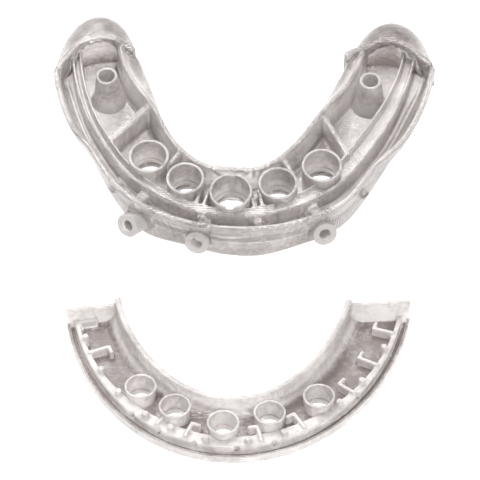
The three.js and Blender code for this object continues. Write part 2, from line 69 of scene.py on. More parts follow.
def new_object(name, mesh):
    piece = bpy.data.objects.new(name, mesh)
    bpy.context.scene.collection.objects.link(piece)
    return piece


def mesh_of(name, points, faces):
    mesh = bpy.data.meshes.new(name)
    mesh.from_pydata([tuple(p) for p in points], [], faces)
    tidy = bmesh.new()
    tidy.from_mesh(mesh)
    bmesh.ops.recalc_face_normals(tidy, faces=tidy.faces)
    tidy.to_mesh(mesh)
    tidy.free()
    return mesh


BENCH_SIZE = 3.0
BENCH_GLOW = 0.9
BENCH_DROP = 0.1
half = BENCH_SIZE / 2
bench_corners = [(-half, -half, 0), (half, -half, 0), (half, half, 0), (-half, half, 0)]
bench = new_object("bench", mesh_of("bench", bench_corners, [(0, 1, 2, 3)]))
bench.data.transform(Matrix.Translation((0, 0, -BENCH_DROP * MM)))

bench_paint = bpy.data.materials.new("bench_paint")
bench_paint.use_nodes = True
bench_shader = bench_paint.node_tree.nodes["Principled BSDF"]
bench_shader.inputs["Base Color"].default_value = (0.5, 0.5, 0.5, 1)
bench_shader.inputs["Roughness"].default_value = 0.9
bench_shader.inputs["Specular IOR Level"].default_value = 0.1
bench_shader.inputs["Emission Color"].default_value = (1, 1, 1, 1)
bench_shader.inputs["Emission Strength"].default_value = BENCH_GLOW
bench.data.materials.append(bench_paint)

# ---- Light -----------------------------------------------------------------------------------------
# Soft studio light: a surround that is white above and greyer towards the sides, a wide panel overhead
# and behind, and a weaker one in front. Colours are shown as they are, with nothing toned down.
bpy.context.scene.view_settings.view_transform = "Standard"
SURROUND_SIDES = 0.15
SURROUND_TOP = 0.85

world = bpy.data.worlds.new("surround")
world.use_nodes = True
bpy.context.scene.world = world
sky = world.node_tree
sky_place = sky.nodes.new("ShaderNodeTexCoord")
sky_split = sky.nodes.new("ShaderNodeSeparateXYZ")
sky_range = sky.nodes.new("ShaderNodeMapRange")
sky_range.interpolation_type = "SMOOTHSTEP"
sky_range.inputs["From Min"].default_value = 0.1
sky_range.inputs["From Max"].default_value = 0.75
sky_range.inputs["To Min"].default_value = SURROUND_SIDES
sky_range.inputs["To Max"].default_value = SURROUND_TOP
sky.links.new(sky_place.outputs["Generated"], sky_split.inputs["Vector"])
sky.links.new(sky_split.outputs["Z"], sky_range.inputs["Value"])
sky.links.new(sky_range.outputs["Result"], sky.nodes["Background"].inputs["Strength"])
sky.nodes["Background"].inputs["Color"].default_value = (1, 1, 1, 1)


def light_panel(name, place, size, power):
    panel = bpy.data.objects.new(name, bpy.data.lights.new(name, "AREA"))
    bpy.context.scene.collection.objects.link(panel)
    panel.data.shape = "RECTANGLE"
    panel.data.size = size[0]
    panel.data.size_y = size[1]
    panel.data.energy = power
    panel.location = place
    panel.rotation_euler = Vector(place).to_track_quat("Z", "Y").to_euler()


light_panel("overhead_panel", place=(-0.25, 0.45, 0.75), size=(0.7, 0.5), power=9.0)
light_panel("front_panel", place=(0.35, -0.6, 0.45), size=(0.4, 0.3), power=3.0)

# ---- Resin -----------------------------------------------------------------------------------------
# Both parts are printed in a clear resin that looks a milky warm grey, with the fine lines of the print's
# layers. Painted light is
# mixed into its colour: a painted highlight on rims and outer edges, painted shade in inside corners, and
# painted shading on floors, low flanges and at the far back.
def node_group(name, inputs, outputs):
    group = bpy.data.node_groups.new(name, "ShaderNodeTree")
    for label, kind, value in inputs:
        socket = group.interface.new_socket(label, in_out="INPUT", socket_type=kind)
        if value is not None:
            socket.default_value = value
    for label, kind in outputs:
        group.interface.new_socket(label, in_out="OUTPUT", socket_type=kind)
    return group, group.nodes.new("NodeGroupInput"), group.nodes.new("NodeGroupOutput")


def feed(tree, socket, value):
    if isinstance(value, (int, float)):
        socket.default_value = value
    else:
        tree.links.new(value, socket)


def math_node(tree, operation, *values):
    made = tree.nodes.new("ShaderNodeMath")
    made.operation = operation
    for socket, value in zip(made.inputs, values):
        feed(tree, socket, value)
    return made.outputs[0]


def smooth_range(tree, value, before, after):
    made = tree.nodes.new("ShaderNodeMapRange")
    made.interpolation_type = "SMOOTHSTEP"
    labels = ("Value", "From Min", "From Max", "To Min", "To Max")
    for label, source in zip(labels, (value, *before, *after)):
        feed(tree, made.inputs[label], source)
    return made.outputs["Result"]


def noise(tree, vector, kind):
    made = tree.nodes.new("ShaderNodeTexNoise")
    made.inputs["Scale"].default_value = kind["scale"]
    made.inputs["Detail"].default_value = kind["detail"]
    tree.links.new(vector, made.inputs["Vector"])
    return made.outputs["Fac"]


def axes(tree, vector):
    made = tree.nodes.new("ShaderNodeSeparateXYZ")
    tree.links.new(vector, made.inputs["Vector"])
    return made.outputs


# Height of the layer lines across one axis of the print, a little uneven, and the grain between them.
LINES_PER_METRE = 2600.0
LINE_WANDER = {"scale": 120, "detail": 2}
LINE_WANDER_REACH = 0.6 * MM
LINE_GRAIN = {"scale": 2200, "detail": 3}

layer_lines, lines_in, lines_out = node_group(
    "layer_lines",
    [("Vector", "NodeSocketVector", None), ("Lines per metre", "NodeSocketFloat", LINES_PER_METRE),
     ("Grain", "NodeSocketFloat", 0.3)],
    [("Height", "NodeSocketFloat")],
)
place_in_print = lines_in.outputs["Vector"]
uneven = noise(layer_lines, place_in_print, LINE_WANDER)
wander = math_node(layer_lines, "MULTIPLY", uneven, LINE_WANDER_REACH)
along = math_node(layer_lines, "ADD", axes(layer_lines, place_in_print)["Y"], wander)
turns = math_node(layer_lines, "MULTIPLY", along, lines_in.outputs["Lines per metre"])
wave = math_node(layer_lines, "SINE", math_node(layer_lines, "MULTIPLY", turns, 2 * math.pi))
grain = math_node(layer_lines, "MULTIPLY", noise(layer_lines, place_in_print, LINE_GRAIN),
                  lines_in.outputs["Grain"])
layer_lines.links.new(math_node(layer_lines, "ADD", wave, grain), lines_out.inputs["Height"])

# How light the resin looks, from 0 to 1, with painted light and shade in it. Floors are low and face up,
# flanges hang low, and the covers are
# far back: each gets its own painted shading, darker for a positive amount and lighter for a negative
# one. Slow clouds and a fine mottling change it all a little.
FACES_UP = (0.35, 0.85)
# Pointiness ranges for the painted highlight on outer edges and the painted shade in inside corners.
PAINTED_RIM_HIGHLIGHT = (0.505, 0.59)
PAINTED_CORNER_SHADE = (0.41, 0.495)
LOW = (1 * MM, 5 * MM)
FAR_BACK = (27 * MM, 38 * MM)
EVEN_TONE = 0.72
CLOUDS = {"scale": 180, "detail": 4}
MOTTLING = {"scale": 1300, "detail": 3}

resin_tone_and_painted_light, tone_in, tone_out = node_group(
    "resin_tone_and_painted_light",
    [("Vector", "NodeSocketVector", None), ("Floor", "NodeSocketFloat", 1.5 * MM),
     ("Wall", "NodeSocketFloat", 3.5 * MM), ("Floor painted shading", "NodeSocketFloat", 0.6),
     ("Low painted shading", "NodeSocketFloat", 0.3), ("Back painted shading", "NodeSocketFloat", 0.3),
     ("Painted edge light", "NodeSocketFloat", 0.65), ("Cloud", "NodeSocketFloat", 1.1),
     ("Mottle", "NodeSocketFloat", 0.8)],
    [("Lightness", "NodeSocketFloat")],
)
place_in_print = tone_in.outputs["Vector"]
surface = resin_tone_and_painted_light.nodes.new("ShaderNodeNewGeometry")
height = axes(resin_tone_and_painted_light, place_in_print)["Z"]
faces_up = smooth_range(resin_tone_and_painted_light, axes(resin_tone_and_painted_light, surface.outputs["Normal"])["Z"], FACES_UP, (0, 1))
floor_to_wall = (tone_in.outputs["Floor"], tone_in.outputs["Wall"])
near_floor = smooth_range(resin_tone_and_painted_light, height, floor_to_wall, (1, 0))
# Where the painted shading falls: on up-facing floors, low down, and at the far back.
painted_shading_masks = {
    "Floor painted shading": math_node(resin_tone_and_painted_light, "MULTIPLY", faces_up, near_floor),
    "Low painted shading": smooth_range(resin_tone_and_painted_light, height, LOW, (1, 0)),
    "Back painted shading": smooth_range(resin_tone_and_painted_light, axes(resin_tone_and_painted_light, place_in_print)["Y"], FAR_BACK, (0, 1)),
}
# A painted highlight on outer edges and painted shade in inside corners, read from the surface's
# pointiness.
painted_rim_highlight = smooth_range(resin_tone_and_painted_light, surface.outputs["Pointiness"], PAINTED_RIM_HIGHLIGHT, (0, 0.5))
painted_corner_shade = smooth_range(resin_tone_and_painted_light, surface.outputs["Pointiness"], PAINTED_CORNER_SHADE, (-0.5, 0))
painted_edge_light = math_node(resin_tone_and_painted_light, "ADD", painted_rim_highlight, painted_corner_shade)
painted_edge_share = math_node(resin_tone_and_painted_light, "MULTIPLY", painted_edge_light, tone_in.outputs["Painted edge light"])
tone = math_node(resin_tone_and_painted_light, "ADD", painted_edge_share, EVEN_TONE)
# Each painted shading mask darkens the tone by its amount; a negative amount paints light instead.
for label, mask in painted_shading_masks.items():
    darker = math_node(resin_tone_and_painted_light, "MULTIPLY", mask, tone_in.outputs[label])
    tone = math_node(resin_tone_and_painted_light, "SUBTRACT", tone, darker)
for label, kind in (("Cloud", CLOUDS), ("Mottle", MOTTLING)):
    around_zero = math_node(resin_tone_and_painted_light, "SUBTRACT", noise(resin_tone_and_painted_light, place_in_print, kind), 0.5)
    change = math_node(resin_tone_and_painted_light, "MULTIPLY", around_zero, tone_in.outputs[label])
    tone = math_node(resin_tone_and_painted_light, "ADD", tone, change)
resin_tone_and_painted_light.links.new(tone, tone_out.inputs["Lightness"])

# The resin's colour runs from a dark end, used for painted shade and dark clouds, to a light end, used
# for painted highlights and light clouds.
RESIN_DARK_AND_SHADED = (0.24, 0.20, 0.19, 1)
RESIN_LIGHT_AND_LIT = (0.96, 0.92, 0.905, 1)
RESIN_ROUGHNESS = 0.14
RESIN_IOR = 1.48
LINE_STRENGTH = 0.35
LINE_HEIGHT = 0.05 * MM


def grouped(tree, group, vector, values):
    made = tree.nodes.new("ShaderNodeGroup")
    made.node_tree = group
    tree.links.new(vector, made.inputs["Vector"])
    for label, value in values.items():
        made.inputs[label].default_value = value
    return made.outputs[0]


def printed_resin(name, place, clear, painted_shading):
    material = bpy.data.materials.new(name)
    material.use_nodes = True
    tree = material.node_tree
    shader = tree.nodes["Principled BSDF"]
    shader.inputs["Roughness"].default_value = RESIN_ROUGHNESS
    shader.inputs["IOR"].default_value = RESIN_IOR
    shader.inputs["Transmission Weight"].default_value = clear
    into_print = place.inverted()
    coords = tree.nodes.new("ShaderNodeTexCoord")
    turn = tree.nodes.new("ShaderNodeMapping")
    turn.inputs["Rotation"].default_value = into_print.to_euler()
    turn.inputs["Location"].default_value = into_print.translation
    tree.links.new(coords.outputs["Object"], turn.inputs["Vector"])
    bump = tree.nodes.new("ShaderNodeBump")
    bump.inputs["Strength"].default_value = LINE_STRENGTH
    bump.inputs["Distance"].default_value = LINE_HEIGHT
    tree.links.new(grouped(tree, layer_lines, turn.outputs["Vector"], {}), bump.inputs["Height"])
    tree.links.new(bump.outputs["Normal"], shader.inputs["Normal"])
    # The tone, painted light and shade included, mixes the two resin colours.
    tone_and_painted_light_mix = tree.nodes.new("ShaderNodeMix")
    tone_and_painted_light_mix.data_type = "RGBA"
    tone_and_painted_light_mix.inputs["A"].default_value = RESIN_DARK_AND_SHADED
    tone_and_painted_light_mix.inputs["B"].default_value = RESIN_LIGHT_AND_LIT
    tree.links.new(grouped(tree, resin_tone_and_painted_light, turn.outputs["Vector"], painted_shading), tone_and_painted_light_mix.inputs["Factor"])
    tree.links.new(tone_and_painted_light_mix.outputs["Result"], shader.inputs["Base Color"])
    return material


# The tray lies pitched up towards its back, on its front skirt and the tips of its tongue-side flanges.
# The middle of one sleeve and of one cup, known in each print's own plane, says where the print lies.
TRAY_PITCH = math.radians(12)
MIDDLE_SLEEVE = {"at": (0, 3.4), "low": 1.5, "high": 7}
MIDDLE_CUP = {"at": (-0.6, 5.0), "low": 1.5, "high": 3.9}


def print_place(node, known, tilt):
    low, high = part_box(node)
    middle = Vector((*known["at"], (known["low"] + known["high"]) / 2)) * MM
    return Matrix.Translation((low + high) / 2 - tilt @ middle) @ tilt


TRAY_PLACE = print_place("guide_sleeve_3", MIDDLE_SLEEVE, Matrix.Rotation(TRAY_PITCH, 4, "X"))
INSERT_PLACE = print_place("insert_cup_3", MIDDLE_CUP, Matrix.Identity(4))
# Painted shading per material: the tray's up-facing floors painted lighter, its low flanges and far back
# painted darker; the sleeves, posts and bushes painted lighter low down and at the back; the insert's
# floor painted darker and its low parts lighter.
tray_resin = printed_resin("tray_resin", TRAY_PLACE, clear=0.72, painted_shading={
    "Floor": 1.6 * MM, "Wall": 4.6 * MM,
    "Floor painted shading": -0.35, "Low painted shading": 0.42, "Back painted shading": 0.5,
})
sleeve_resin = printed_resin("sleeve_resin", TRAY_PLACE, clear=0.6, painted_shading={
    "Floor": 1 * MM, "Wall": 2 * MM,
    "Floor painted shading": 0, "Low painted shading": -0.5, "Back painted shading": -0.2,
})
insert_resin = printed_resin("insert_resin", INSERT_PLACE, clear=0.5, painted_shading={
    "Floor": 1.3 * MM, "Wall": 2.2 * MM,
    "Floor painted shading": 0.95, "Low painted shading": -0.25, "Back painted shading": 0,
})

# ---- Tray saddle -----------------------------------------------------------------------------------
# The tray's wavy body, printed in one: the tongue-side flange and wall, the channel floor, the rail that
# the insert sits against, the lip-side groove with its rolled border, and the skirt below it.
ARCH_HALF_WIDTH = 28
ARCH_DEPTH = 38
FLOOR_TOP = 1.2
RAIL_TOP = 6
RIDGE_TOP = 6.5
GROOVE_BOTTOM = 1.9
SLOT_DEPTH = 1.5
SLOT_FADE = (24, 40)
RAIL_RIB = 0.45

# By arch angle: border's offset and height, skirt's offset and height, the rail's two faces, the crest of
# the tongue-side wall, and the tongue-side flange's widest offset and the height of its lower edge.
STATIONS = [
    (-80, 4.0, 6.0, 3.8, 0.0, -0.5, 1.2, -7.2, -10.4, -9.2),
    (-70, 4.2, 6.4, 2.5, -1.4, -0.5, 1.2, -8.0, -11.4, -9.6),
    (-58, 3.9, 5.8, 2.0, -1.8, -0.6, 1.1, -9.6, -11.4, -8.0),
    (-50, 2.8, 5.3, 1.8, -2.2, -0.8, 0.9, -9.8, -10.6, -5.0),
    (-38, 3.2, 5.0, 2.5, -3.2, -0.8, 1.0, -9.0, -9.4, -3.2),
    (-27, 3.2, 5.0, 3.2, -3.6, -0.8, 0.9, -8.4, -9.0, -2.6),
    (-14, 2.6, 5.0, 2.4, -3.0, -0.8, 0.9, -8.0, -8.6, -2.2),
    (0, 2.4, 5.0, 2.6, -3.3, -0.7, 0.8, -7.9, -8.5, -2.0),
    (9, 2.7, 5.0, 3.0, -3.3, -0.8, 1.0, -8.0, -8.6, -2.0),
    (20, 3.3, 5.0, 3.1, -3.0, -0.9, 1.3, -8.2, -8.8, -2.2),
    (34, 4.0, 5.0, 3.6, -3.3, -1.4, 1.5, -9.0, -9.5, -3.2),
    (48, 3.1, 5.3, 2.6, -2.8, -2.1, 1.1, -9.8, -10.4, -5.5),
    (58, 4.5, 5.8, 2.4, -2.2, -2.0, 1.1, -9.6, -11.0, -8.0),
    (70, 5.1, 6.4, 2.8, -1.6, -1.2, 1.4, -8.1, -10.8, -9.6),
    (82, 5.0, 6.0, 4.7, 0.0, -0.5, 1.8, -7.2, -9.8, -9.6),
]
BORDER, BORDER_Z, SKIRT, SKIRT_Z, RAIL_IN, RAIL_OUT, RIDGE, FLANGE, FLANGE_Z = range(1, 10)
TRAY_REACH = (-87, 90)
TRAY_STEPS = 118


def mix(a, b, share):
    return a + (b - a) * share


def ease(value, low, high):
    share = min(max((value - low) / (high - low), 0), 1)
    return share * share * (3 - 2 * share)


def station(angle, column):
    last = len(STATIONS) - 1
    after = next((k for k, row in enumerate(STATIONS) if row[0] > angle), last)
    after = max(after, 1)
    rows = [STATIONS[min(max(k, 0), last)] for k in (after - 2, after - 1, after, after + 1)]
    f = min(max((angle - rows[1][0]) / (rows[2][0] - rows[1][0]), 0), 1)
    a, b, c, d = [row[column] for row in rows]
    return b + 0.5 * f * (c - a + f * (2 * a - 5 * b + 4 * c - d + f * (3 * (b - c) + d - a)))


def arch_point(angle, offset, z=0.0, half_width=ARCH_HALF_WIDTH):
    t = math.radians(angle)
    out = Vector((ARCH_DEPTH * math.sin(t), -half_width * math.cos(t))).normalized()
    x = half_width * math.sin(t) + out.x * offset
    y = ARCH_DEPTH * (1 - math.cos(t)) + out.y * offset
    return Vector((x, y, z)) * MM


def steps(low, high, count):
    return [mix(low, high, k / count) for k in range(count + 1)]


def arc(centre, radius, start, end, count):
    angles = [math.radians(a) for a in steps(start, end, count)]
    return [(centre[0] + radius * math.cos(a), centre[1] + radius * math.sin(a)) for a in angles]


def loft(name, rings):
    n = len(rings[0])
    points = [p for ring in rings for p in ring]
    faces = []
    for i in range(len(rings) - 1):
        for j in range(n):
            k = (j + 1) % n
            faces.append((i * n + j, i * n + k, (i + 1) * n + k, (i + 1) * n + j))
    faces.append(tuple(range(n)))
    faces.append(tuple((len(rings) - 1) * n + j for j in range(n)))
    return mesh_of(name, points, faces)


def saddle_section(t):
    border, border_z = station(t, BORDER), station(t, BORDER_Z)
    hem, hem_z = station(t, SKIRT), station(t, SKIRT_Z)
    rail_in, rail_out = station(t, RAIL_IN), station(t, RAIL_OUT)
    crest, low = station(t, RIDGE), station(t, FLANGE_Z)
    bulge = min(station(t, FLANGE), crest - 0.7)
    slot = SLOT_DEPTH * ease(abs(t), *SLOT_FADE)
    rib = RAIL_RIB
    groove_out = border - 0.5
    return [
        (hem - 1.1, 0.1), (hem - 1.0, hem_z + 0.2), (hem - 0.5, hem_z - 0.05), (hem, hem_z + 0.2),
        (hem + 0.3, hem_z + 0.9), ((hem + border) / 2 + 0.3, 1.4), (mix(hem, border, 0.8) + 0.4, 3.0),
        *arc((border - 0.05, border_z - 0.55), 0.55, -20, 160, 8),
        (mix(rail_out, groove_out, 0.9), mix(GROOVE_BOTTOM, border_z, 0.45)),
        (mix(rail_out, groove_out, 0.7), GROOVE_BOTTOM + 0.5),
        (mix(rail_out, groove_out, 0.45), GROOVE_BOTTOM),
        (rail_out + 0.35, GROOVE_BOTTOM), (rail_out, GROOVE_BOTTOM + 0.45), (rail_out, RAIL_TOP - 0.15),
        (rail_out - 0.15, RAIL_TOP), (rail_out - rib + 0.1, RAIL_TOP), (rail_out - rib, RAIL_TOP - 0.1),
        (rail_out - rib, RAIL_TOP - 0.1 - slot), (rail_in + rib, RAIL_TOP - 0.1 - slot),
        (rail_in + rib, RAIL_TOP - 0.1), (rail_in + rib - 0.1, RAIL_TOP), (rail_in + 0.15, RAIL_TOP),
        (rail_in, RAIL_TOP - 0.15), (rail_in, FLOOR_TOP + 0.5), (rail_in - 0.4, FLOOR_TOP),
        (crest + 1.6, FLOOR_TOP), (crest + 0.95, FLOOR_TOP + 0.6), (crest + 0.5, RIDGE_TOP - 0.5),
        *arc((crest + 0.05, RIDGE_TOP - 0.45), 0.45, 0, 180, 6),
        (mix(crest, bulge, 0.8), 4.6), (bulge, 2.6), (bulge + 0.2, low / 2), (bulge + 0.5, low + 0.3),
        (bulge + 0.9, low), (bulge + 1.4, low + 0.3), (bulge + 1.4, low / 2), (crest + 0.3, -0.4),
        (crest + 1.2, 0), (rail_in, 0),
    ]


saddle_rings = [
    [arch_point(t, u, z) for u, z in saddle_section(t)] for t in steps(*TRAY_REACH, TRAY_STEPS)
]
saddle = new_object("tray_shell", loft("tray_shell", saddle_rings))


def finished_mesh(piece):
    shape = piece.evaluated_get(bpy.context.evaluated_depsgraph_get())
    return bpy.data.meshes.new_from_object(shape)


def apply_stack(piece):
    shape = finished_mesh(piece)
    piece.modifiers.clear()
    piece.data = shape


def discard(piece):
    bpy.data.objects.remove(piece)


def cut(piece, tools):
    for tool in tools:
        carve = piece.modifiers.new("cut", "BOOLEAN")
        carve.operation = "DIFFERENCE"
        carve.solver = "EXACT"
        carve.object = tool
    bpy.context.view_layer.update()
    apply_stack(piece)
    for tool in tools:
        discard(tool)


def tube_mesh(name, start, end, start_radius, end_radius, sides=32):
    axis = (end - start).normalized()
    turn = axis.to_track_quat("Z", "Y")
    rings = []
    for centre, radius in ((start, start_radius), (end, end_radius)):
        rings.append([
            centre + turn @ Vector((radius * math.cos(a), radius * math.sin(a), 0))
            for a in steps(0, 2 * math.pi, sides)[:-1]
        ])
    return loft(name, rings)


def rod(name, start, end, start_radius, end_radius):
    return new_object(name, tube_mesh(name, start, end, start_radius, end_radius))


def upright(name, centre, low, high, radius):
    foot, top = [centre + Vector((0, 0, z * MM)) for z in (low, high)]
    return rod(name, foot, top, radius, radius)


def slab(name, outline, low, high):
    points = [Vector((x, y, z)) * MM for z in (low, high) for x, y in outline]
    n = len(outline)
    faces = [(k, (k + 1) % n, n + (k + 1) % n, n + k) for k in range(n)]
    faces += [tuple(range(n)), tuple(range(n, 2 * n))]
    return new_object(name, mesh_of(name, points, faces))


# ---- Cross walls and pad covers --------------------------------------------------------------------
# A thin arched wall closes the channel at each end, and a rounded cover for the pad of gum behind the
# last molar springs from it. Both are printed with the saddle.
DAM_PLANS = {
    "left": [(31.9, 30.7), (29.3, 33.0), (24.5, 34.6), (20.2, 33.4), (18.0, 32.0)],
    "right": [(-30.3, 27.2), (-29.0, 29.8), (-26.4, 32.0), (-21.6, 33.0), (-18.4, 31.4)],
}
DAM_STEPS = 28
DAM_THICKNESS = 1.0
SADDLE_END = 0.4
COVER_START = DAM_THICKNESS - 0.8
DAM_TOP = 6.6
PAD_COVERS = {
    "left": {"half": (7.6, 13.4, 7.3), "at": (25.6, 29.4)},
    "right": {"half": (7.2, 12.5, 7.3), "at": (-24.6, 29.2)},
}
DOME_FULLNESS = 0.7
DOME_RISE = 89.5
DOME_RINGS = 26
DOME_SIDES = 72
PAD_COVER_WALL = 1.2
PAD_COVER_BASE = 0.5
HOLLOW_DROP = 0.05

# The block that cuts off whatever lies before or behind a dam's line.
CUT_OUT = 12
CUT_LOW = -16
CUT_HIGH = 14
CUT_FRONT = 0
CUT_BACK = 60


def curve_through(points, count):
    last = len(points) - 1
    line = []
    for s in steps(0, last, count):
        i = min(int(s), last - 1)
        f = s - i
        rows = [Vector(points[min(max(k, 0), last)]) for k in (i - 1, i, i + 1, i + 2)]
        a, b, c, d = rows
        line.append(b + 0.5 * f * (c - a + f * (2 * a - 5 * b + 4 * c - d + f * (3 * (b - c) + d - a))))
    return line


def dam_line(side, back):
    line = curve_through(DAM_PLANS[side], DAM_STEPS)
    moved = []
    for k, p in enumerate(line):
        tangent = line[min(k + 1, len(line) - 1)] - line[max(k - 1, 0)]
        normal = Vector((tangent.y, -tangent.x)).normalized()
        if normal.y < 0:
            normal.negate()
        moved.append(p + normal * back)
    return moved


def behind_dam(side, back, far_y):
    line = dam_line(side, back)
    out = CUT_OUT if side == "left" else -CUT_OUT
    first, last = line[0], line[-1]
    outline = [*line, (last.x - out, last.y), (last.x - out, far_y), (first.x + out, far_y),
               (first.x + out, first.y)]
    return slab("behind", outline, CUT_LOW, CUT_HIGH)


def dome_mesh(half, at):
    rings = []
    for s in steps(0, DOME_RISE, DOME_RINGS):
        across, up = math.cos(math.radians(s)) ** DOME_FULLNESS, math.sin(math.radians(s))
        rings.append([
            Vector((at[0] + half[0] * across * math.cos(a), at[1] + half[1] * across * math.sin(a),
                    PAD_COVER_BASE + half[2] * up)) * MM
            for a in steps(0, 2 * math.pi, DOME_SIDES)[:-1]
        ])
    return loft("dome", rings)


def pad_cover(side):
    half, at = PAD_COVERS[side]["half"], PAD_COVERS[side]["at"]
    cover = new_object("pad_cover", dome_mesh(half, at))
    hollow = new_object("hollow", dome_mesh([h - PAD_COVER_WALL for h in half], at))
    hollow.data.transform(Matrix.Translation((0, 0, -HOLLOW_DROP * MM)))
    cut(cover, [hollow, behind_dam(side, COVER_START, CUT_FRONT)])
    return cover


def end_dam(side):
    outline = [*dam_line(side, 0), *reversed(dam_line(side, DAM_THICKNESS))]
    return slab("end_dam", outline, 0, DAM_TOP)


cut(saddle, [behind_dam(side, SADDLE_END, CUT_BACK) for side in ("left", "right")])
tray_parts = [build(side) for side in ("left", "right") for build in (end_dam, pad_cover)]

# ---- Thin walls in the channel ---------------------------------------------------------------------
# Webs stand across the channel to hold the impression material, and a split post stands on each side of
# the middle sleeve. Ribs cross the lip-side groove behind the pin bushes.
WEB_FOOT = 0.8
WEB_TOP = 6.1
ABOVE_ALL = 9
WEBS = [
    {"from": (55, -10.0), "to": (45.5, -1.4), "width": 0.9},
    {"from": (-56, -10.0), "to": (-49, -0.4), "width": 1.4},
    {"from": (27.5, -8.8), "to": (26.5, -4.6), "width": 0.8},
    {"from": (-30, -8.8), "to": (-29, -4.6), "width": 0.8},
]
SPLIT_POSTS = [
    {"from": (9.6, -4.0), "to": (9.8, -0.6), "width": 1.9},
    {"from": (-10.6, -4.0), "to": (-10.6, -0.6), "width": 1.9},
]
SPLIT = {"width": 0.7, "depth": 2.6, "past": 2}
GROOVE_RIBS = [-29, -8, 26.5]
GROOVE_RIB_WIDTH = 1.7
GROOVE_RIB_FOOT = 1.2
GROOVE_RIB_TOP = 4.6


def bar(name, start, end, width, low, high):
    a, b = start.xy / MM, end.xy / MM
    side = Vector((b.y - a.y, a.x - b.x)).normalized() * width / 2
    return slab(name, [a - side, b - side, b + side, a + side], low, high)


for web in WEBS:
    start, end = arch_point(*web["from"]), arch_point(*web["to"])
    tray_parts.append(bar("web", start, end, web["width"], WEB_FOOT, WEB_TOP))
for post in SPLIT_POSTS:
    start, end = arch_point(*post["from"]), arch_point(*post["to"])
    whole = bar("split_post", start, end, post["width"], WEB_FOOT, WEB_TOP)
    beyond = (end - start).normalized() * SPLIT["past"] * MM
    split_foot = WEB_TOP - SPLIT["depth"]
    cut(whole, [bar("split", start - beyond, end + beyond, SPLIT["width"], split_foot, ABOVE_ALL)])
    tray_parts.append(whole)
for angle in GROOVE_RIBS:
    start = arch_point(angle, station(angle, RAIL_OUT) - 0.2)
    end = arch_point(angle, station(angle, BORDER))
    tray_parts.append(bar("rib", start, end, GROOVE_RIB_WIDTH, GROOVE_RIB_FOOT, GROOVE_RIB_TOP))

# A flat tab stands on the tongue-side wall behind the middle sleeve.
TAB_OUTLINE = [(-3.3, 7.3), (3.3, 7.3), (3.3, 8.3), (-3.3, 8.3)]
TAB_FOOT = 4
TAB_TOP = 7.1
tray_parts.append(slab("tab", TAB_OUTLINE, TAB_FOOT, TAB_TOP))

# ---- Bush bodies and nubs --------------------------------------------------------------------------
# Each pin bush grows out of a tapered boss that runs up into the border. Two small nubs stand on the
# skirt, further back, where supports were snapped off.
PIN_BUSHES = {
    "right": {"face": (-16.9, -0.6, 1.4), "at": -26, "length": 5.6, "boss": (-31, 2.2, 3.6)},
    "centre": {"face": (-5.3, -3.4, 1.4), "at": -8, "length": 2.3, "boss": (-8, 1.6, 3.4)},
    "left": {"face": (15.6, -0.7, 1.4), "at": 14, "length": 5.0, "boss": (25, 2.2, 3.6)},
}
BUSH_RISE = math.radians(26)
BUSH_RADIUS = 2.0
BUSH_BORE = 0.95
BOSS_START = 0.9
BOSS_PAST_BUSH = 1
BOSS_RADII = (1.85 * MM, 2.1 * MM)
ROOT_START = 1.9
ROOT_RADII = (1.7 * MM, 0.9 * MM)


def bush_axis(bush):
    inward = (arch_point(bush["at"], -1) - arch_point(bush["at"], 0)).normalized()
    level = inward * math.cos(BUSH_RISE)
    return Vector((level.x, level.y, -math.sin(BUSH_RISE)))


for bush in PIN_BUSHES.values():
    face = Vector(bush["face"]) * MM
    axis = bush_axis(bush)
    start = face + axis * BOSS_START * MM
    end = face + axis * (bush["length"] + BOSS_PAST_BUSH) * MM
    tray_parts.append(rod("boss", start, end, *BOSS_RADII))
    root = face + axis * ROOT_START * MM
    tray_parts.append(rod("boss_root", root, arch_point(*bush["boss"]), *ROOT_RADII))

NUBS = [(-38.5, 2.6, 2.2), (42, 3.2, 1.6)]
NUB_REACH = (-1.0, 1.3)
NUB_FALL = 0.8
NUB_RADII = (1.15 * MM, 0.7 * MM)
for angle, offset, z in NUBS:
    start = arch_point(angle, offset + NUB_REACH[0], z + NUB_FALL)
    end = arch_point(angle, offset + NUB_REACH[1], z)
    tray_parts.append(rod("nub", start, end, *NUB_RADII))

# ---- One print -------------------------------------------------------------------------------------
# Saddle, walls, covers and bosses run into each other as one piece of resin, with soft inside corners.
# The sleeves' and bushes' bores go right through it.
SLEEVES = [
    {"at": (-13.9, 9.7), "radius": 3.3},
    {"at": (-7.6, 5.6), "radius": 3.1},
    {"at": (0, 3.4), "radius": 3.5},
    {"at": (7.6, 5.3), "radius": 3.2},
    {"at": (14.6, 9.2), "radius": 3.3},
]
SLEEVE_WALL = 0.42
SLEEVE_STEP = 0.15
SLEEVE_TOP = 7
ROOM_TOP = 12
BORE_REACH = 6
BUSH_BORE_REACH = 3
BUSH_BORE_GAP = 0.1


def join(piece, others):
    whole = bmesh.new()
    for other in (piece, *others):
        whole.from_mesh(other.data)
    whole.to_mesh(piece.data)
    whole.free()
    for other in others:
        discard(other)


def print_in_one(piece, voxel, rounds, kept_share=1.0):
    fuse = piece.modifiers.new("one print", "REMESH")
    fuse.mode = "VOXEL"
    fuse.voxel_size = voxel
    fuse.use_smooth_shade = True
    soften = piece.modifiers.new("soft corners", "SMOOTH")
    soften.factor = 0.5
    soften.iterations = rounds
    if kept_share < 1:
        thin_out = piece.modifiers.new("fewer faces", "DECIMATE")
        thin_out.ratio = kept_share


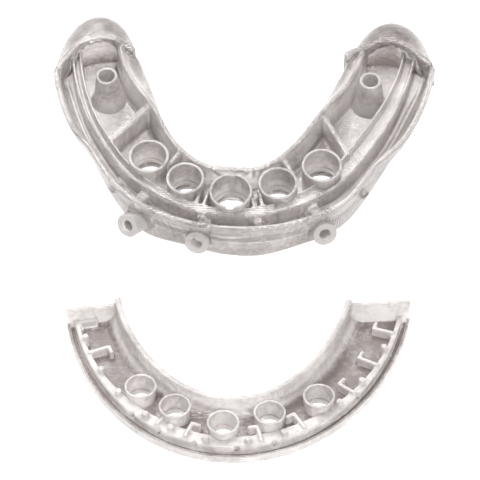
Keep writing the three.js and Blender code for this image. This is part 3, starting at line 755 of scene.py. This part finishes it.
TRAY_VOXEL = 0.25 * MM
TRAY_ROUNDS = 4
TRAY_KEPT = 0.6
join(saddle, tray_parts)
print_in_one(saddle, TRAY_VOXEL, TRAY_ROUNDS, TRAY_KEPT)
apply_stack(saddle)
bores = []
for sleeve in SLEEVES:
    centre = Vector((*sleeve["at"], 0)) * MM
    radius = (sleeve["radius"] - SLEEVE_WALL / 2) * MM
    foot = (sleeve["radius"] - SLEEVE_WALL - SLEEVE_STEP) * MM
    bores.append(upright("sleeve_room", centre, FLOOR_TOP, ROOM_TOP, radius))
    bores.append(upright("sleeve_bore", centre, -BORE_REACH, BORE_REACH, foot))
for bush in PIN_BUSHES.values():
    face = Vector(bush["face"]) * MM
    axis = bush_axis(bush)
    start = face - axis * BUSH_BORE_REACH * MM
    end = face + axis * (bush["length"] + BUSH_BORE_REACH) * MM
    bores.append(rod("bush_bore", start, end, *[(BUSH_BORE + BUSH_BORE_GAP) * MM] * 2))
cut(saddle, bores)


def finish_piece(piece, body, material, nodes, place):
    piece.data.transform(place)
    piece.data.materials.clear()
    piece.data.materials.append(material)
    for polygon in piece.data.polygons:
        polygon.use_smooth = True
        polygon.material_index = 0
    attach(piece, body)
    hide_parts(*nodes)


saddle_nodes = ["tongue_flange", "channel_floor", "insert_rail", "lip_flange"]
for part in ("end_dam", "pad_cover", "channel_web", "tongue_web", "slot_post"):
    saddle_nodes += [f"{part}_{side}" for side in ("left", "right")]
finish_piece(saddle, "tray", tray_resin, saddle_nodes, TRAY_PLACE)

# ---- Guide sleeves ---------------------------------------------------------------------------------
# Five thin round sleeves stand in the front of the channel. Their bores narrow at the foot, where a
# guided drill or a scan post stops. They are printed with the tray.
def turned(name, profile, sides=72, rounding=0.12):
    mesh = bpy.data.meshes.new(name)
    count = len(profile)
    edges = [(k, (k + 1) % count) for k in range(count)]
    mesh.from_pydata([(r * MM, 0, z * MM) for r, z in profile], edges, [])
    piece = new_object(name, mesh)
    spin = piece.modifiers.new("turned", "SCREW")
    spin.steps = sides
    spin.render_steps = sides
    spin.use_merge_vertices = True
    spin.merge_threshold = 0.001 * MM
    edge = piece.modifiers.new("soft rims", "BEVEL")
    edge.limit_method = "ANGLE"
    edge.angle_limit = math.radians(35)
    edge.width = rounding * MM
    edge.segments = 3
    apply_stack(piece)
    tidy = bmesh.new()
    tidy.from_mesh(piece.data)
    bmesh.ops.remove_doubles(tidy, verts=tidy.verts, dist=0.001 * MM)
    bmesh.ops.recalc_face_normals(tidy, faces=tidy.faces)
    tidy.to_mesh(piece.data)
    tidy.free()
    return piece


# The middle sleeve has a key slot front and back.
SLEEVE_FOOT = FLOOR_TOP - 0.2
SLEEVE_STOP = FLOOR_TOP + 1.1
KEYED_SLEEVE = 3
KEY_WIDTH = 1.2
KEY_DEPTH = 0.8

for number, sleeve in enumerate(SLEEVES, 1):
    outside = sleeve["radius"]
    bore = outside - SLEEVE_WALL
    foot = bore - SLEEVE_STEP
    tube = turned(f"sleeve_{number}", [
        (outside, SLEEVE_TOP), (outside, SLEEVE_FOOT), (foot, SLEEVE_FOOT), (foot, SLEEVE_STOP),
        (bore, SLEEVE_STOP), (bore, SLEEVE_TOP),
    ])
    if number == KEYED_SLEEVE:
        reach = Vector((0, outside + 1, 0)) * MM
        cut(tube, [bar("key", -reach, reach, KEY_WIDTH, SLEEVE_TOP - KEY_DEPTH, ABOVE_ALL)])
    tube.data.transform(Matrix.Translation(Vector((*sleeve["at"], 0)) * MM))
    finish_piece(tube, "tray", sleeve_resin, [f"guide_sleeve_{number}"], TRAY_PLACE)

# ---- Posterior posts -------------------------------------------------------------------------------
# A tapered post of the same resin stands on the channel floor near each end, with a blind pilot hole in
# its top. It is printed with the tray.
POSTS = {"left": (22.1, 26.1), "right": (-22.1, 25.0)}
POST_BASE = 2.6
POST_TOP_RADIUS = 1.8
POST_TOP = 8
POST_HOLE = 1.3
POST_HOLE_FLOOR = POST_TOP - 4.5

# The turned profile stops just short of the post's axis.
POST_AXIS = 0.01

for side, at in POSTS.items():
    post = turned(f"post_{side}", [
        (POST_TOP_RADIUS, POST_TOP), (POST_BASE - 0.05, FLOOR_TOP + 0.8), (POST_BASE + 0.5, FLOOR_TOP),
        (POST_AXIS, FLOOR_TOP - 0.2), (POST_AXIS, POST_HOLE_FLOOR), (POST_HOLE, POST_HOLE_FLOOR),
        (POST_HOLE, POST_TOP),
    ])
    post.data.transform(Matrix.Translation(Vector((*at, 0)) * MM))
    finish_piece(post, "tray", sleeve_resin, [f"posterior_post_{side}"], TRAY_PLACE)

# ---- Pin bushes ------------------------------------------------------------------------------------
# A short thick-walled bush of the same resin ends each boss, with a flat face and a shallow groove round
# it. It is printed with the tray, and a fixation pin is driven through it.
BUSH_GROOVE = {"from": 0.9, "to": 1.3, "slope": 0.1, "depth": 0.12}
BUSH_ROUNDING = 0.08

for side, bush in PIN_BUSHES.items():
    waist = BUSH_RADIUS - BUSH_GROOVE["depth"]
    ring = turned(f"bush_{side}", [
        (BUSH_RADIUS, -bush["length"]), (BUSH_BORE, -bush["length"]), (BUSH_BORE, 0), (BUSH_RADIUS, 0),
        (BUSH_RADIUS, -BUSH_GROOVE["from"]), (waist, -BUSH_GROOVE["from"] - BUSH_GROOVE["slope"]),
        (waist, BUSH_GROOVE["slope"] - BUSH_GROOVE["to"]), (BUSH_RADIUS, -BUSH_GROOVE["to"]),
    ], rounding=BUSH_ROUNDING)
    axis = bush_axis(bush)
    turn = (-axis).to_track_quat("Z", "Y").to_matrix().to_4x4()
    ring.data.transform(Matrix.Translation(Vector(bush["face"]) * MM) @ turn)
    finish_piece(ring, "tray", sleeve_resin, [f"pin_bush_{side}"], TRAY_PLACE)

# ---- Insert plate ----------------------------------------------------------------------------------
# The flat half-ring is one print: a thin rim, a narrow groove, a ledge with small knobs and hooks that
# lock the impression material, a floor that sweeps up into the inner wall, and a low wall at each end.
INSERT_HALF_WIDTH = 28.4
INSERT_ENDS = {
    "left": {"reach": 86, "outer": (28.2, 31.3), "inner": (17.2, 30.0), "top": 5.1},
    "right": {"reach": -79, "outer": (-27.4, 26.9), "inner": (-18.2, 28.6), "top": 4.6},
}
RIM_WIDTH = 0.5
RIM_HEIGHT = 1.6
LEDGE_START = 1.25
LEDGE_WIDTH = {"front": 2.3, "limb": 0.8}
LEDGE_TOP = 2.4
INSERT_GROOVE = 0.7
INSERT_FLOOR = 1.2
FLOOR_SWEEP = 2.4
INNER_WALL_TOP = {"front": 4.5, "limb": 5.9}
INNER_WALL_WIDTH = 1.0
CHANNEL_WIDTH_FRONT = 9.9
CHANNEL_WIDTH_LIMB = {"left": 10.2, "right": 8.9}
END_WALL_WIDTH = 0.9
END_WALL_FOOT = 0.2
LIMB_ANGLES = (15, 70)
BEYOND_REACH = 60
BEYOND_HEIGHTS = (-1, 12)


def limb_share(t):
    return ease(abs(t), *LIMB_ANGLES)


def insert_section(t):
    share = limb_share(t)
    limb = CHANNEL_WIDTH_LIMB["left" if t > 0 else "right"]
    wall = -mix(CHANNEL_WIDTH_FRONT, limb, share)
    face = wall + INNER_WALL_WIDTH
    top = mix(INNER_WALL_TOP["front"], INNER_WALL_TOP["limb"], share)
    ledge = -LEDGE_START - mix(LEDGE_WIDTH["front"], LEDGE_WIDTH["limb"], share)
    return [
        (wall, 0), (-0.1, 0), (0, 0.1), (0, RIM_HEIGHT - 0.1), (-0.1, RIM_HEIGHT),
        (-RIM_WIDTH + 0.1, RIM_HEIGHT), (-RIM_WIDTH, RIM_HEIGHT - 0.1), (-RIM_WIDTH, INSERT_GROOVE),
        (-LEDGE_START, INSERT_GROOVE), (-LEDGE_START, LEDGE_TOP - 0.1), (-LEDGE_START - 0.1, LEDGE_TOP),
        (ledge + 0.1, LEDGE_TOP), (ledge, LEDGE_TOP - 0.1), (ledge, INSERT_FLOOR + 0.2),
        (ledge - 0.2, INSERT_FLOOR),
        *arc((face + FLOOR_SWEEP, INSERT_FLOOR + FLOOR_SWEEP), FLOOR_SWEEP, 270, 180, 8),
        (face, top - 0.2), (face - 0.15, top), (wall + 0.15, top), (wall, top - 0.2),
    ]


INSERT_STEPS = 120
insert_angles = steps(INSERT_ENDS["right"]["reach"], INSERT_ENDS["left"]["reach"], INSERT_STEPS)
plate = new_object("insert_shell", loft("insert_shell", [
    [arch_point(t, u, z, INSERT_HALF_WIDTH) for u, z in insert_section(t)] for t in insert_angles
]))


def beyond_end(end):
    outer, inner = Vector(end["outer"]), Vector(end["inner"])
    slope = (outer.y - inner.y) / (outer.x - inner.x)
    far = math.copysign(BEYOND_REACH, outer.x)
    line = [(x, inner.y + slope * (x - inner.x)) for x in (0, far)]
    return slab("beyond", [*line, (far, BEYOND_REACH), (0, BEYOND_REACH)], *BEYOND_HEIGHTS)


def end_wall(end):
    outer, inner = Vector(end["outer"]), Vector(end["inner"])
    outer.x -= math.copysign(RIM_WIDTH, outer.x)
    back_line = [outer, inner]
    front_line = [p - Vector((0, END_WALL_WIDTH)) for p in reversed(back_line)]
    return slab("end_wall", [*back_line, *front_line], END_WALL_FOOT, end["top"])


cut(plate, [beyond_end(end) for end in INSERT_ENDS.values()])
insert_parts = [end_wall(end) for end in INSERT_ENDS.values()]

# ---- Knobs and hooks -------------------------------------------------------------------------------
# Small round knobs stand on the ledge, and hooks reach from it over the floor. Impression material
# flows round them and can't be pulled off.
KNOB_ANGLES = [-64, -51.5, -41.5, -29.5, -19.5, -7, 7.5, 20, 41, 51.5, 65]
KNOB_RADIUS = 0.6
KNOB_OFFSET = -2.2
KNOB_TAPER = 0.08
FOOT_IN_LEDGE = 0.4
KNOB_TOP = 3.4
HOOKS = [
    {"at": -70, "reach": 2.6, "turn": 0},
    {"at": -59, "reach": 3.0, "turn": 1},
    {"at": -24.5, "reach": 2.6, "turn": 1},
    {"at": -14, "reach": 2.4, "turn": 1},
    {"at": 12, "reach": 2.6, "turn": -1},
    {"at": 27, "reach": 2.8, "turn": -1},
    {"at": 47, "reach": 2.6, "turn": 1},
    {"at": 59, "reach": 2.8, "turn": 1},
    {"at": 71, "reach": 2.8, "turn": 1},
]
HOOK_WIDTH = 0.58
HOOK_TOP = 2.9
HOOK_END = 2.5
LEDGE_NOTCHES = [-33.5, -23, -10.5, 3.5, 16, 47.5]
NOTCH_RADIUS = 0.45
NOTCH_HEIGHTS = (1.4, 4)


def insert_point(angle, offset, z=0.0):
    return arch_point(angle, offset, z, INSERT_HALF_WIDTH)


for angle in KNOB_ANGLES:
    foot = insert_point(angle, KNOB_OFFSET, FOOT_IN_LEDGE)
    tip = insert_point(angle, KNOB_OFFSET, KNOB_TOP)
    insert_parts.append(rod("knob", foot, tip, KNOB_RADIUS * MM, (KNOB_RADIUS - KNOB_TAPER) * MM))
for hook in HOOKS:
    root = insert_point(hook["at"], KNOB_OFFSET + 0.5)
    tip = insert_point(hook["at"], KNOB_OFFSET - hook["reach"])
    insert_parts.append(bar("hook", root, tip, HOOK_WIDTH, FOOT_IN_LEDGE, HOOK_TOP))
    if hook["turn"]:
        along_hook = (tip - root).normalized()
        sideways = Vector((-along_hook.y, along_hook.x, 0)) * -hook["turn"] * HOOK_WIDTH * MM
        start, end = tip - sideways * 0.5, tip + sideways * HOOK_END
        insert_parts.append(bar("hook_end", start, end, HOOK_WIDTH, FOOT_IN_LEDGE, HOOK_TOP))

CUPS = [(-13.8, 11.6), (-8.2, 7.9), (-0.6, 5.0), (6.4, 7.4), (13.8, 11.2)]
CUP_TOP_RADIUS = 2.5
CUP_BASE_RADIUS = 2.25
CUP_WALL = 0.38
CUP_TOP = 3.9
CUP_BORE_REACH = 3

cup_room = []
for x, y in CUPS:
    at = Vector((x, y, 0)) * MM
    cup_room.append(upright("cup_room", at, INSERT_FLOOR, ABOVE_ALL, (CUP_TOP_RADIUS - 0.2) * MM))
    through = (CUP_BASE_RADIUS - CUP_WALL) * MM
    cup_room.append(upright("cup_bore", at, -CUP_BORE_REACH, CUP_BORE_REACH, through))
notches = [
    upright("notch", insert_point(angle, -LEDGE_START), *NOTCH_HEIGHTS, NOTCH_RADIUS * MM)
    for angle in LEDGE_NOTCHES
]
cut(plate, notches)
INSERT_VOXEL = 0.2 * MM
INSERT_ROUNDS = 3
join(plate, insert_parts)
print_in_one(plate, INSERT_VOXEL, INSERT_ROUNDS)
apply_stack(plate)
cut(plate, cup_room)

finish_piece(plate, "insert", insert_resin, ["insert_plate"], INSERT_PLACE)

# ---- Insert cups -----------------------------------------------------------------------------------
# Five thin-walled cups rise from the insert's floor, open at the bottom, and come over the places of
# the guide sleeves. They are printed with the plate.
CUP_FOOT = INSERT_FLOOR - 0.2
CUP_STOP = INSERT_FLOOR + 0.5

for number, (x, y) in enumerate(CUPS, 1):
    cup = turned(f"cup_{number}", [
        (CUP_TOP_RADIUS, CUP_TOP), (CUP_BASE_RADIUS, CUP_FOOT), (CUP_BASE_RADIUS - CUP_WALL, CUP_FOOT),
        (CUP_BASE_RADIUS - CUP_WALL, CUP_STOP), (CUP_TOP_RADIUS - CUP_WALL, CUP_TOP),
    ])
    cup.data.transform(Matrix.Translation(Vector((x, y, 0)) * MM))
    finish_piece(cup, "insert", insert_resin, [f"insert_cup_{number}"], INSERT_PLACE)
